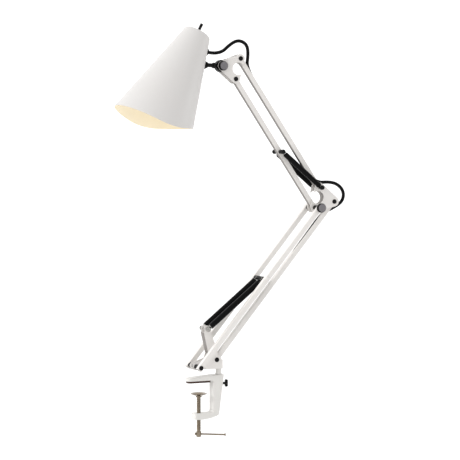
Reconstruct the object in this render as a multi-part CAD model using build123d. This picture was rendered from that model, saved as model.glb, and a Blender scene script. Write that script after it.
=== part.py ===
"""Clamp-on balanced-arm desk lamp with a conical shade, in millimetres.

+Z is up and the arms fold in the XZ plane. The origin is the centre of the jaw pad's
underside, the face that sits on the desk, with the clamp screw's axis through it.
"""
from build123d import *
import math
import os

# Clamp
JAW_WIDTH = 20.0
JAW_REACH = 26.0
JAW_TOP = 13.8
JAW_TIP_TOP = 9.6
JAW_TAPER_X = 26.0
JAW_TIP_ROUND = 7.0
LOWER_TIP_ROUND = 3.0
COLUMN_ROUND = 9.0
INNER_ROUND = 4.0
RIM_ROUND = 1.6
BELLY_POINT = (23.0, -67.5)
KNEE_Z = -61.5
PAD_THICKNESS = 3.8
PAD_LENGTH = 45.0
PAD_SETBACK = 1.5
PAD_ROUND = 7.0
PAD_WIDTH = 18.0
COLUMN_INNER_X = 26.5
COLUMN_OUTER_X = 51.5
COLUMN_FOOT_X = 41.5
LOWER_JAW_TOP = -58.0
LOWER_JAW_DEPTH = 11.5
LOWER_JAW_REACH = 11.5
SCREW_RADIUS = 4.0
SCREW_HEAD_RADIUS = 4.8
SCREW_HEAD_HEIGHT = 11.0
PLATE_RADIUS = 16.0
PLATE_TOP = -20.5
PLATE_HEIGHT = 7.2
PLATE_DISH = 4.4
PLATE_EDGE = 1.0
PLATE_NECK = 1.6
TOMMY_RADIUS = 1.6
TOMMY_LENGTH = 60.0
TOMMY_KNOB_RADIUS = 2.6
TOMMY_Z = -98.4
TOMMY_TURN = -33.0

# Spindle and its lock
SPINDLE_X = 41.0
SPINDLE_RADIUS = 5.5
SPINDLE_DEPTH = 26.0
BUSH_WALL = 1.0
COLLAR_HEIGHT = 1.6
LOCK_NECK = 5.6
LOCK_Z = -4.0
LOCK_RADIUS = 2.5
WING_HEIGHT = 14.0
WING_WIDTH = 5.2
WING_THICKNESS = 4.0

# Arms, as pivots in the XZ plane
PIVOT_1 = (-8.3, 31.5)
LOWER_SPREAD = (42.5, 11.2)
LOWER_LENGTH = 389.9
LOWER_ANGLE = 49.94
UPPER_SPREAD = (10.0, 39.0)
UPPER_LENGTH = 298.8
UPPER_ANGLE = 124.35
BAR_WIDTH = 9.6
BAR_DEPTH = 9.6
BAR_WALL = 1.2
BAR_OVERRUN = 6.0
TWIN_Y = 27.0

# Folded sheet brackets
BRACKET_WIDTH = 16.0
SHEET = 1.5
LOBE_RADIUS = 9.7
BASE_FLOOR_Z = 25.4
BASE_BACK_X = 46.5
HORN_OFFSET = (21.9, 71.0)
HORN_LOBE = 6.5
HORN_LEFT = [(24.8, 24.5), (15.5, 65.0)]
HORN_RIGHT = [(28.3, 69.8), (38.9, 41.9), (47.9, 10.9)]
HORN_ROOT = (18.9, 6.8)
BASE_TOE_RADIUS = 7.0
ELBOW_NOTCH = 12.6
ELBOW_NOTCH_SHIFT = 1.5
HEAD_NOTCH = 11.7
HEAD_LOBE = 8.5
HUB_LOBE = 9.0
HUB_OFFSET = (-28.0, 24.3)

# Pins, knobs and washers
PIN_RADIUS = 2.5
RIVET_RADIUS = 4.4
RIVET_HEIGHT = 2.2
SPACER_RADIUS = 4.6
KNOB_RADIUS = 9.0
KNOB_HEIGHT = 7.6
KNOB_CAP_RADIUS = 8.2
KNOB_CAP_HEIGHT = 1.2
RUNNING = 0.06
SIDE_GAP = 0.3

# Springs in their sleeves
LOWER_SPRING_SHARE = 0.548
LOWER_SPRING_Y = 12.7
LOWER_SLEEVE_RADIUS = 5.5
UPPER_SPRING_SHARE = 0.44
UPPER_SPRING_Y = 16.0
UPPER_SLEEVE_RADIUS = 5.1
SLEEVE_WALL = 1.0
WIRE_RADIUS = 0.9
LOWER_BARE = (7.2, 14.0)
UPPER_BARE = (5.8, 8.1)
SLEEVE_INSET = 1.2

# Head and shade
HUB_RADIUS = 11.5
STEM_RADIUS = 3.85
STEM_LENGTH = 35.7
STEM_RISE = 2.7
FLANGE_RADIUS = 8.0
FLANGE_THICKNESS = 3.0
STEM_NUT_GAP = 1.8
STEM_DROP = 49.0
SHADE_TOP_RADIUS = 25.2
SHADE_MOUTH_RADIUS = 79.0
SHADE_LENGTH = 198.0
SHADE_TILT = 27.8
SHADE_WALL = 1.2
SHADE_SHOULDER = 7.0
MOUTH_RISE = 26.2
MOUTH_BLEND = 133.5
MOUTH_BLEND_START = -18.3
HOLDER_RADIUS = 17.0
HOLDER_LENGTH = 24.0
SOCKET_RADIUS = 20.0
SOCKET_LENGTH = 40.0
CAP_RADIUS = 13.0
CAP_LENGTH = 27.0
BULB_RADIUS = 30.0
BULB_LENGTH = 82.0
BULB_WALL = 0.9
SWITCH_BUSH_RADIUS = 4.9
SWITCH_BORE = 4.2
LEVER_RADIUS = 2.9
LEVER_LENGTH = 17.6
LEVER_SEAT = 6.0
LEVER_TAPER = 0.9
GROMMET_DROP = 24.9
GROMMET_RADIUS = 6.0

# Lead: the loops' points are offsets in the arm plane from the head's and elbow's rear pivots
LEAD_RADIUS = 3.25
LEAD_LIFT = 0.0
HEAD_LOOP = [(-14.0, 31.0), (3.0, 35.0), (17.5, 26.0), (19.0, 6.0)]
HEAD_LEAD_OUT = 26.7
ELBOW_LOOP = [(2.0, 39.3), (24.5, 22.8), (23.5, 1.3), (5.0, -10.9)]
LEAD_LEAVE = 13.0
LEAD_ENTRY = 22.0
LEAD_IN = 50.0
GLAND_OFFSET = 19.0
GLAND_LENGTH = 9.0


def plus(point, offset, share=1.0):
    return (point[0] + offset[0] * share, point[1] + offset[1] * share)


def polar(length, angle):
    return (length * math.cos(math.radians(angle)), length * math.sin(math.radians(angle)))


LOWER_RUN = polar(LOWER_LENGTH, LOWER_ANGLE)
UPPER_RUN = polar(UPPER_LENGTH, UPPER_ANGLE)
PIVOT_2 = plus(PIVOT_1, LOWER_SPREAD)
ELBOW_1 = plus(PIVOT_1, LOWER_RUN)
ELBOW_2 = plus(PIVOT_2, LOWER_RUN)
ELBOW_3 = plus(ELBOW_1, UPPER_SPREAD)
HEAD_1 = plus(ELBOW_1, UPPER_RUN)
HEAD_2 = plus(ELBOW_3, UPPER_RUN)
HUB = plus(HEAD_1, HUB_OFFSET)
HORN = plus(PIVOT_1, HORN_OFFSET)
LOWER_SPRING_PIN = plus(PIVOT_1, LOWER_RUN, LOWER_SPRING_SHARE)
UPPER_SPRING_PIN = plus(ELBOW_1, UPPER_RUN, UPPER_SPRING_SHARE)
PLATE_Y = BRACKET_WIDTH / 2
TWIN_INNER = TWIN_Y - BAR_DEPTH / 2
TWIN_OUTER = TWIN_Y + BAR_DEPTH / 2
FLARE = math.degrees(math.atan((SHADE_MOUTH_RADIUS - SHADE_TOP_RADIUS) / SHADE_LENGTH))
BUSH_RADIUS = SPINDLE_RADIUS + RUNNING + BUSH_WALL
LOCK_DROP = (JAW_TOP - LOCK_Z) / (JAW_TOP - KNEE_Z)
LOCK_SEAT = COLUMN_OUTER_X + (COLUMN_FOOT_X - COLUMN_OUTER_X) * LOCK_DROP


def shade_radius(drop):
    return SHADE_TOP_RADIUS + drop * math.tan(math.radians(FLARE))


def at(point, y=0.0):
    return Pos(point[0], y, point[1])


def rod(point, radius, y0, y1):
    """A cylinder along Y through a point of the arm plane."""
    return at(point, (y0 + y1) / 2) * Rot(90, 0, 0) * Cylinder(radius, y1 - y0)


def rivet(point, half):
    """A shank along Y with a domed head outside each of the faces at plus and minus half."""
    seat = half + RUNNING
    shank = rod(point, PIN_RADIUS, -seat, seat)
    for side in (-1, 1):
        head = Cylinder(RIVET_RADIUS, RIVET_HEIGHT)
        head = fillet(head.edges().sort_by(Axis.Z)[-1], RIVET_HEIGHT * 0.7)
        shank += at(point, side * (seat + RIVET_HEIGHT / 2)) * Rot(-90 * side, 0, 0) * head
    return shank


def spacers(point, inner, outer):
    """A pair of tubes on a pin, one on each side of the arm plane."""
    parts = []
    for side in (-1, 1):
        ends = sorted((side * (inner + RUNNING), side * (outer - RUNNING)))
        parts.append(rod(point, SPACER_RADIUS, *ends) - rod(point, PIN_RADIUS + RUNNING, *ends))
    return Compound(children=parts)


def bar_plane(start, angle, y=0.0):
    """Local x runs along the bar, local y leaves its open side and local z is +Y."""
    run = polar(1.0, angle)
    return Plane(origin=(start[0], y, start[1]), x_dir=(run[0], 0, run[1]), z_dir=(0, 1, 0))


def channel_bar(start, angle, length, holes, y=0.0):
    """A folded U channel past both pivots, with its web on the arm's left side."""
    outer = Rectangle(length + 2 * BAR_OVERRUN, BAR_WIDTH)
    bar = extrude(outer, BAR_DEPTH / 2, both=True)
    bar = fillet(bar.edges().filter_by(Axis.X).group_by(Axis.Y)[0], BAR_WALL)
    bar -= Pos(0, BAR_WALL, 0) * Box(length + 3 * BAR_OVERRUN, BAR_WIDTH, BAR_DEPTH - 2 * BAR_WALL)
    for along, radius in holes:
        bar -= Pos(along - length / 2, 0, 0) * Cylinder(radius, 2 * BAR_DEPTH)
    return bar_plane(start, angle, y) * Pos(length / 2, 0, 0) * bar


def disc(point, radius):
    return Pos(*point) * Circle(radius)


def strip(start, end, reach, trim):
    """The sheet's thickness along an outline's edge, which lies at a reach to the left of a line."""
    dx, dz = end[0] - start[0], end[1] - start[1]
    length = math.hypot(dx, dz)
    middle = plus(plus(start, (dx, dz), 0.5), (-dz / length, dx / length), reach)
    return Pos(*middle) * Rot(0, 0, math.degrees(math.atan2(dz, dx))) * Rectangle(length - trim, 2 * SHEET)


def hull(*lobes):
    """The outline drawn tight round discs given as (point, radius)."""
    return make_hull([edge for point, radius in lobes for edge in disc(point, radius).edges()])


def folded(outline, *folds):
    """Two equal plates of sheet, one at each side of the arm plane, joined where the folds are."""
    inside = outline
    for fold in folds:
        inside -= fold
    whole = extrude(Plane.XZ * outline, BRACKET_WIDTH / 2, both=True)
    return whole - extrude(Plane.XZ * inside, BRACKET_WIDTH / 2 - SHEET, both=True)


def drill(body, points):
    for point in points:
        body -= rod(point, PIN_RADIUS + RUNNING, -BRACKET_WIDTH, BRACKET_WIDTH)
    return body


# Clamp

def clamp_frame():
    under, foot = PAD_THICKNESS, LOWER_JAW_TOP - LOWER_JAW_DEPTH
    line = Polyline((-LOWER_JAW_REACH, foot), (-LOWER_JAW_REACH, LOWER_JAW_TOP),
                    (COLUMN_INNER_X, LOWER_JAW_TOP), (COLUMN_INNER_X, under),
                    (-JAW_REACH, under), (-JAW_REACH, JAW_TIP_TOP), (JAW_TAPER_X, JAW_TOP),
                    (COLUMN_OUTER_X, JAW_TOP), (COLUMN_FOOT_X, KNEE_Z))
    belly = ThreePointArc((COLUMN_FOOT_X, KNEE_Z), BELLY_POINT, (-LOWER_JAW_REACH, foot))
    body = extrude(Plane.XZ * make_face(Wire(line.edges() + [belly])), JAW_WIDTH / 2, both=True)
    outer = body.edges().filter_by_position(Axis.X, COLUMN_FOOT_X + 1, COLUMN_OUTER_X - 1)
    body = fillet(outer, COLUMN_ROUND)
    upright = body.edges().filter_by(Axis.Z)
    body = fillet(upright.filter_by_position(Axis.X, -JAW_REACH - 1, -JAW_REACH + 1), JAW_TIP_ROUND)
    lower_tip = body.edges().filter_by(Axis.Z).filter_by_position(Axis.X, -LOWER_JAW_REACH - 1, 0)
    body = fillet(lower_tip, LOWER_TIP_ROUND)
    across = body.edges().filter_by(Axis.Y)
    body = fillet(across.filter_by_position(Axis.X, COLUMN_INNER_X - 1, COLUMN_INNER_X + 1), INNER_ROUND)
    rim = body.edges().filter_by_position(Axis.Z, JAW_TOP - 0.01, JAW_TOP + 0.01)
    body = fillet(rim - rim.filter_by(Axis.Y), RIM_ROUND)
    body -= Pos(SPINDLE_X, 0, JAW_TOP - SPINDLE_DEPTH / 2) * Cylinder(BUSH_RADIUS + RUNNING, SPINDLE_DEPTH)
    jaw_hole = Cylinder(SCREW_RADIUS + RUNNING, LOWER_JAW_DEPTH * 2)
    body -= Pos(0, 0, LOWER_JAW_TOP - LOWER_JAW_DEPTH / 2) * jaw_hole
    lock_run = LOCK_SEAT - SPINDLE_X
    lock_hole = Rot(0, 90, 0) * Cylinder(LOCK_RADIUS + RUNNING, lock_run * 2)
    return body - Pos(SPINDLE_X + lock_run, 0, LOCK_Z) * lock_hole


def clamp_pad():
    middle = -JAW_REACH + PAD_SETBACK + PAD_LENGTH / 2
    pad = Pos(middle, 0, PAD_THICKNESS / 2) * Box(PAD_LENGTH, PAD_WIDTH, PAD_THICKNESS)
    return fillet(pad.edges().filter_by(Axis.Z).group_by(Axis.X)[0], PAD_ROUND)


def spindle_bush():
    depth = SPINDLE_DEPTH - 1
    sleeve = Pos(SPINDLE_X, 0, JAW_TOP - depth / 2) * Cylinder(BUSH_RADIUS, depth)
    sleeve -= Pos(SPINDLE_X, 0, 0) * Cylinder(SPINDLE_RADIUS + RUNNING, SPINDLE_DEPTH * 4)
    lock_hole = Rot(0, 90, 0) * Cylinder(LOCK_RADIUS + RUNNING, 2 * BUSH_RADIUS)
    return sleeve - Pos(SPINDLE_X + BUSH_RADIUS, 0, LOCK_Z) * lock_hole


def lock_screw():
    tip = SPINDLE_X + SPINDLE_RADIUS + RUNNING * 2
    end = LOCK_SEAT + LOCK_NECK
    return Pos((tip + end) / 2, 0, LOCK_Z) * Rot(0, 90, 0) * Cylinder(LOCK_RADIUS, end - tip)


def lock_wing():
    start = LOCK_SEAT + LOCK_NECK
    wing = Pos(start + WING_WIDTH / 2, 0, LOCK_Z) * Box(WING_WIDTH, WING_THICKNESS, WING_HEIGHT)
    wing = fillet(wing.edges().filter_by(Axis.Y).group_by(Axis.X)[-1], WING_WIDTH * 0.4)
    return fillet(wing.edges().filter_by(Axis.Y).group_by(Axis.X)[0], WING_WIDTH * 0.3)


def screw_seat():
    return PLATE_TOP - PLATE_HEIGHT


def pressure_plate():
    rim, under = PLATE_TOP, screw_seat()
    neck = SCREW_RADIUS + PLATE_NECK
    line = Polyline((0, rim - PLATE_DISH), (SCREW_RADIUS, rim - PLATE_DISH), (PLATE_RADIUS - PLATE_EDGE, rim),
                    (PLATE_RADIUS, rim - PLATE_EDGE), (neck, rim - PLATE_DISH - PLATE_EDGE), (neck, under),
                    (0, under), close=True)
    return revolve(Plane.XZ * make_face(line), Axis.Z)


def clamp_screw():
    top = screw_seat()
    bottom = TOMMY_Z - SCREW_HEAD_HEIGHT / 2
    shank = Pos(0, 0, (top + bottom) / 2) * Cylinder(SCREW_RADIUS, top - bottom)
    head = Pos(0, 0, TOMMY_Z) * Cylinder(SCREW_HEAD_RADIUS, SCREW_HEAD_HEIGHT)
    head = chamfer(head.edges().filter_by(GeomType.CIRCLE), 1.0)
    hole = Cylinder(TOMMY_RADIUS + RUNNING, SCREW_HEAD_RADIUS * 4)
    return shank + head - tommy_place() * hole


def tommy_place():
    """Local z runs along the sliding bar, through the screw's axis."""
    return Pos(0, 0, TOMMY_Z) * Rot(0, 0, TOMMY_TURN) * Rot(0, 90, 0)


def tommy_bar():
    """The bar rests slid to one end, against the knob on its short side."""
    stop = -SCREW_HEAD_RADIUS - SIDE_GAP
    centre = tommy_place() * Pos(0, 0, stop - TOMMY_KNOB_RADIUS + TOMMY_LENGTH / 2)
    bar = centre * Cylinder(TOMMY_RADIUS, TOMMY_LENGTH)
    for side in (-1, 1):
        bar += centre * Pos(0, 0, side * (TOMMY_LENGTH - TOMMY_KNOB_RADIUS) / 2) * knob_bead()
    return bar


def knob_bead():
    bead = Cylinder(TOMMY_KNOB_RADIUS, TOMMY_KNOB_RADIUS)
    return fillet(bead.edges().filter_by(GeomType.CIRCLE), TOMMY_KNOB_RADIUS * 0.4)


# Base

def spindle():
    foot = JAW_TOP - SPINDLE_DEPTH + 2
    collar = JAW_TOP + RUNNING + COLLAR_HEIGHT / 2
    shaft = Pos(SPINDLE_X, 0, (foot + BASE_FLOOR_Z) / 2) * Cylinder(SPINDLE_RADIUS, BASE_FLOOR_Z - foot)
    return shaft + Pos(SPINDLE_X, 0, collar) * Cylinder(SPINDLE_RADIUS + BUSH_WALL, COLLAR_HEIGHT)


def base_bracket():
    toe = hull((PIVOT_1, BASE_TOE_RADIUS), (PIVOT_2, LOBE_RADIUS))
    left = [plus(PIVOT_1, spot) for spot in HORN_LEFT]
    right = [plus(PIVOT_1, spot) for spot in HORN_RIGHT]
    root = plus(PIVOT_1, HORN_ROOT)
    heel = make_face(Polyline(root, (root[0], BASE_FLOOR_Z), (BASE_BACK_X, BASE_FLOOR_Z),
                              (BASE_BACK_X, PIVOT_2[1]), PIVOT_2, close=True))
    horn = make_face(Polyline(root, *left, *right, close=True))
    outline = toe + heel + horn + disc(HORN, HORN_LOBE)
    floor = strip((root[0] + SHEET, BASE_FLOOR_Z), (BASE_BACK_X + SHEET, BASE_FLOOR_Z), 0, 0)
    back = strip(*left, 0, SHEET)
    return drill(folded(outline, floor, back), [PIVOT_1, PIVOT_2, HORN])


# Springs

def spring_frame(start, end, y):
    run = (end[0] - start[0], end[1] - start[1])
    return Plane(origin=(start[0], y, start[1]), x_dir=(0, 1, 0), z_dir=(run[0], 0, run[1]))


def spring_span(start, end):
    return math.hypot(end[0] - start[0], end[1] - start[1])


def spring(start, end, y, sleeve_radius, bare):
    """A close-wound body, plain because the sleeve hides it, with an eye round each pin."""
    span = spring_span(start, end)
    core = sleeve_radius - SLEEVE_WALL - RUNNING
    eye = PIN_RADIUS + WIRE_RADIUS + RUNNING
    first, last = bare[0] - SLEEVE_INSET, span - bare[1] + SLEEVE_INSET
    body = Pos(0, 0, (first + last) / 2) * Cylinder(core, last - first)
    for place, reach in ((0.0, first), (span, last)):
        ring = Pos(0, 0, place) * Rot(0, 90, 0) * Torus(eye, WIRE_RADIUS)
        root = place + math.copysign(eye, reach - place)
        body += ring + Pos(0, 0, (root + reach) / 2) * Cylinder(WIRE_RADIUS, abs(reach - root) + WIRE_RADIUS)
    return spring_frame(start, end, y) * body


def sleeve(start, end, y, radius, bare):
    first, last = bare[0], spring_span(start, end) - bare[1]
    tube = Cylinder(radius, last - first) - Cylinder(radius - SLEEVE_WALL, last)
    return spring_frame(start, end, y) * Pos(0, 0, (first + last) / 2) * tube


# Elbow

def elbow_bracket():
    outline = hull((ELBOW_1, LOBE_RADIUS), (ELBOW_2, LOBE_RADIUS), (ELBOW_3, LOBE_RADIUS))
    notch = plus(plus(ELBOW_1, UPPER_SPREAD, 0.5), (ELBOW_NOTCH_SHIFT, 0))
    outline -= disc(notch, ELBOW_NOTCH)
    fold = strip(ELBOW_3, ELBOW_2, LOBE_RADIUS, 14)
    return drill(folded(outline, fold), [ELBOW_1, ELBOW_2, ELBOW_3])


def elbow_axle():
    far = TWIN_OUTER + RUNNING
    shank = rod(ELBOW_1, PIN_RADIUS, -TWIN_OUTER - KNOB_HEIGHT + 1, far)
    head = Cylinder(RIVET_RADIUS, RIVET_HEIGHT)
    head = fillet(head.edges().sort_by(Axis.Z)[-1], RIVET_HEIGHT * 0.7)
    return shank + at(ELBOW_1, far + RIVET_HEIGHT / 2) * Rot(-90, 0, 0) * head


def knob(point, seat):
    """A fluted clamping knob on the near end of a bolt, open towards it."""
    near = -seat - SIDE_GAP
    body = rod(point, KNOB_RADIUS, near - KNOB_HEIGHT, near)
    body = fillet(body.edges().filter_by(GeomType.CIRCLE).sort_by(Axis.Y)[0], 1.2)
    return body - rod(point, PIN_RADIUS + RUNNING, near - KNOB_HEIGHT + 0.6, near + 1)


def knob_cap(point, seat):
    near = -seat - SIDE_GAP - KNOB_HEIGHT
    disc_body = rod(point, KNOB_CAP_RADIUS - 0.6, near - KNOB_CAP_HEIGHT, near)
    return fillet(disc_body.edges().filter_by(GeomType.CIRCLE).sort_by(Axis.Y)[0], 0.5)


# Head

def head_bracket():
    outline = hull((HUB, HUB_LOBE), (HEAD_1, HEAD_LOBE), (HEAD_2, HEAD_LOBE))
    outline -= disc(plus(HEAD_1, UPPER_SPREAD, 0.5), HEAD_NOTCH)
    fold = strip(HUB, HEAD_2, HEAD_LOBE + SHEET / 2, 2 * HUB_RADIUS + SHEET * 3)
    return drill(folded(outline, fold), [HEAD_1, HEAD_2, HUB])


def head_bolt():
    far = PLATE_Y + RUNNING
    shank = rod(HUB, PIN_RADIUS, -PLATE_Y - KNOB_HEIGHT + 1, far)
    nut = Pos(0, 0, 0) * extrude(RegularPolygon(RIVET_RADIUS + 0.6, 6), 4)
    return shank + at(HUB, far) * Rot(-90, 0, 0) * nut


def stem_place():
    """Local z runs from the hub's centre along the stem to the shade's wall."""
    along = polar(1.0, 180 - STEM_RISE)
    return Plane(origin=(HUB[0], 0, HUB[1]), x_dir=(0, 1, 0), z_dir=(along[0], 0, along[1]))


def head_hub():
    half = PLATE_Y - SHEET - SIDE_GAP
    hub = rod(HUB, HUB_RADIUS, -half, half)
    hub = fillet(hub.edges().filter_by(GeomType.CIRCLE), 1.0)
    return hub - rod(HUB, PIN_RADIUS + RUNNING, -half - 1, half + 1)


def stem():
    start = HUB_RADIUS - 1.0
    end = STEM_LENGTH + SHADE_WALL + STEM_NUT_GAP + 5.0
    body = Pos(0, 0, (start + end) / 2) * Cylinder(STEM_RADIUS, end - start)
    nut = Pos(0, 0, HUB_RADIUS + 1.2) * extrude(RegularPolygon(STEM_RADIUS + 2.2, 6), 4)
    return stem_place() * (body + nut) - rod(HUB, HUB_RADIUS + RUNNING, -PLATE_Y, PLATE_Y)


def stem_flange():
    place = stem_place()
    outer = Pos(0, 0, STEM_LENGTH) * Cylinder(FLANGE_RADIUS, 2 * FLANGE_THICKNESS)
    outer += Pos(0, 0, STEM_LENGTH - FLANGE_THICKNESS - 2) * Cylinder(FLANGE_RADIUS - 2, 4)
    return place * (outer - Cylinder(STEM_RADIUS + RUNNING, STEM_LENGTH * 3)) - shade_solid(0)


def stem_nut():
    seat = STEM_LENGTH + SHADE_WALL + STEM_NUT_GAP
    nut = Pos(0, 0, seat) * extrude(RegularPolygon(STEM_RADIUS + 3.4, 6), 4)
    return stem_place() * (nut - Cylinder(STEM_RADIUS + RUNNING, STEM_LENGTH * 4))


# Shade, in a local frame with the axis along z and the flat top at z = 0

def shade_place():
    wall = plus(HUB, polar(STEM_LENGTH, 180 - STEM_RISE))
    return at(wall) * Rot(0, SHADE_TILT, 0) * Pos(-shade_radius(STEM_DROP), 0, STEM_DROP)


def cone(inset, drop, shoulder):
    slant = inset / math.cos(math.radians(FLARE))
    top = shade_radius(drop) - slant
    foot = shade_radius(SHADE_LENGTH + drop) - slant
    solid = Cone(foot, top, SHADE_LENGTH, align=(Align.CENTER, Align.CENTER, Align.MAX))
    solid = Pos(0, 0, -drop) * solid
    return fillet(solid.edges().sort_by(Axis.Z)[-1], shoulder)


def shade_solid(inset):
    return shade_place() * cone(inset, inset, SHADE_SHOULDER - inset)


def mouth_cut():
    """The mouth is square to the axis in front and rises behind, with a soft blend between."""
    low = -SHADE_LENGTH
    reach = SHADE_MOUTH_RADIUS + 20
    rise = math.radians(MOUTH_RISE)
    start = (MOUTH_BLEND_START, low)
    end = plus(start, (MOUTH_BLEND * math.sin(rise), MOUTH_BLEND * (1 - math.cos(rise))))
    middle = plus(start, (MOUTH_BLEND * math.sin(rise / 2), MOUTH_BLEND * (1 - math.cos(rise / 2))))
    tip = plus(end, ((reach - end[0]), (reach - end[0]) * math.tan(rise)))
    edge = [Line((-reach, low), start), ThreePointArc(start, middle, end), Line(end, tip),
            Line(tip, (reach, low - reach)), Line((reach, low - reach), (-reach, low - reach)),
            Line((-reach, low - reach), (-reach, low))]
    return extrude(Plane.XZ * make_face(edge), reach, both=True)


def wall_place(drop):
    """Local z leaves the shade's wall square to it, at a drop down the axis from the top."""
    return shade_place() * Pos(shade_radius(drop), 0, -drop) * Rot(0, 90 - FLARE, 0)


def shade():
    inside = cone(SHADE_WALL, SHADE_WALL, SHADE_SHOULDER - SHADE_WALL)
    body = cone(0, 0, SHADE_SHOULDER) - inside - mouth_cut()
    body -= Cylinder(SWITCH_BUSH_RADIUS + RUNNING, 10)
    body = shade_place() * body
    body -= stem_place() * Pos(0, 0, STEM_LENGTH) * Cylinder(STEM_RADIUS + RUNNING, 12)
    return body - wall_place(GROMMET_DROP) * Cylinder(GROMMET_RADIUS - 1.5 + RUNNING, 12)


def switch_body():
    top = -SHADE_WALL - RUNNING
    housing = Pos(0, 0, top - HOLDER_LENGTH / 2) * Cylinder(HOLDER_RADIUS, HOLDER_LENGTH)
    housing = fillet(housing.edges().filter_by(GeomType.CIRCLE).sort_by(Axis.Z)[-1], 2.0)
    bush = Pos(0, 0, (top + 1.4) / 2) * Cylinder(SWITCH_BUSH_RADIUS, 1.4 - top)
    well = Pos(0, 0, 0) * Cylinder(SWITCH_BORE, 2 * (LEVER_SEAT + LEVER_RADIUS + SIDE_GAP))
    return shade_place() * (housing + bush - well)


def switch_lever():
    foot = Pos(0, 0, -LEVER_SEAT) * Sphere(LEVER_RADIUS)
    stick = Cone(LEVER_RADIUS * LEVER_TAPER, LEVER_RADIUS, LEVER_LENGTH + LEVER_SEAT)
    stick = Pos(0, 0, (LEVER_LENGTH - LEVER_SEAT) / 2) * stick
    stick = fillet(stick.edges().sort_by(Axis.Z)[-1], 1.2)
    return shade_place() * (foot + stick)


def socket_top():
    return -SHADE_WALL - RUNNING - HOLDER_LENGTH


def lampholder():
    body = Pos(0, 0, socket_top() - SOCKET_LENGTH / 2) * Cylinder(SOCKET_RADIUS, SOCKET_LENGTH)
    body = fillet(body.edges().filter_by(GeomType.CIRCLE).sort_by(Axis.Z)[-1], 3.0)
    well = Pos(0, 0, socket_top() - SOCKET_LENGTH + CAP_LENGTH / 2 + 4)
    return shade_place() * (body - well * Cylinder(CAP_RADIUS + RUNNING, CAP_LENGTH + 12))


def bulb_top():
    return socket_top() - SOCKET_LENGTH + CAP_LENGTH


def bulb_cap():
    cap = Pos(0, 0, bulb_top() - CAP_LENGTH / 2) * Cylinder(CAP_RADIUS, CAP_LENGTH)
    cap = chamfer(cap.edges().sort_by(Axis.Z)[-1], 4.0)
    return shade_place() * cap


def bulb_outline(inset):
    """Half the bulb's section: its neck in the cap, its shoulder and its round end."""
    neck = bulb_top() - CAP_LENGTH
    centre = neck - BULB_LENGTH + BULB_RADIUS
    waist, round_end = CAP_RADIUS - inset, BULB_RADIUS - inset
    low = round_end * math.sqrt(0.5)
    line = [Line((0, neck), (waist, neck)),
            Spline((waist, neck), (round_end, centre), tangents=[(0, -1), (0, -1)]),
            ThreePointArc((round_end, centre), (low, centre - low), (0, centre - round_end)),
            Line((0, centre - round_end), (0, neck))]
    return Plane.XZ * make_face(line)


def bulb_glass():
    return shade_place() * (revolve(bulb_outline(0), Axis.Z) - revolve(bulb_outline(BULB_WALL), Axis.Z))


def lead_grommet():
    ring = Pos(0, 0, 1.6) * Cylinder(GROMMET_RADIUS, 3.2) + Pos(0, 0, -1) * Cylinder(GROMMET_RADIUS - 1.5, 5)
    return wall_place(GROMMET_DROP) * (ring - Cylinder(LEAD_RADIUS + RUNNING, 20))


# Lead

def on_bar(start, angle, along):
    """A point on the lead's line inside a bar's channel."""
    spot = bar_plane(start, angle).from_local_coords(Vector(along, -LEAD_LIFT, 0))
    return (spot.X, spot.Z)


def lead(points):
    """A round lead along straight runs joined by arcs as large as the runs allow."""
    turns = []
    for before, here, after in zip(points, points[1:], points[2:]):
        first, second = Vector(*here) - Vector(*before), Vector(*after) - Vector(*here)
        angle = math.radians(first.get_angle(second))
        turns.append(0.45 * min(first.length, second.length) / math.tan(angle / 2))
    path = Plane.XZ * (FilletPolyline(*points, radius=turns) if turns else Line(*points))
    return sweep(Plane(path @ 0, z_dir=path % 0) * Circle(LEAD_RADIUS), path)


def middle_of(start, end):
    return ((start[0] + end[0]) / 2, (start[1] + end[1]) / 2)


UPPER_TOP = on_bar(HEAD_2, UPPER_ANGLE, -LEAD_IN)
UPPER_FOOT = on_bar(ELBOW_3, UPPER_ANGLE, LEAD_IN)
LOWER_TOP = on_bar(ELBOW_2, LOWER_ANGLE, -LEAD_IN - LEAD_ENTRY / 2)
LOWER_FOOT = on_bar(PIVOT_2, LOWER_ANGLE, GLAND_OFFSET + GLAND_LENGTH / 2)


def head_leads():
    root = (wall_place(GROMMET_DROP) * Pos(0, 0, -1)).position
    mouth = (wall_place(GROMMET_DROP) * Pos(0, 0, HEAD_LEAD_OUT)).position
    rise, *rest = (plus(HEAD_2, spot) for spot in HEAD_LOOP)
    split = middle_of(rise, rest[0])
    entry = on_bar(HEAD_2, UPPER_ANGLE, -LEAD_ENTRY)
    shade_side = [(root.X, root.Z), (mouth.X, mouth.Z), rise, split]
    return lead(shade_side), lead([split, *rest, entry, UPPER_TOP])


def elbow_leads():
    leaving = on_bar(ELBOW_3, UPPER_ANGLE, LEAD_LEAVE)
    entry = on_bar(ELBOW_2, LOWER_ANGLE, -LEAD_ENTRY * 1.5)
    top, *rest = (plus(ELBOW_2, spot) for spot in ELBOW_LOOP)
    split = middle_of(top, rest[0])
    return lead([UPPER_FOOT, leaving, top, split]), lead([split, *rest, entry, LOWER_TOP])


def lead_gland():
    block = Pos(GLAND_OFFSET, BAR_WALL / 2, 0)
    size = (GLAND_LENGTH, BAR_WIDTH - BAR_WALL - 2 * RUNNING, BAR_DEPTH - 2 * BAR_WALL - 2 * RUNNING)
    socket = Pos(GLAND_OFFSET + GLAND_LENGTH / 2, -LEAD_LIFT, 0) * Rot(0, 90, 0)
    bore = socket * Cylinder(LEAD_RADIUS + RUNNING, GLAND_LENGTH)
    return bar_plane(PIVOT_2, LOWER_ANGLE) * (block * Box(*size) - bore)


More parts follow.
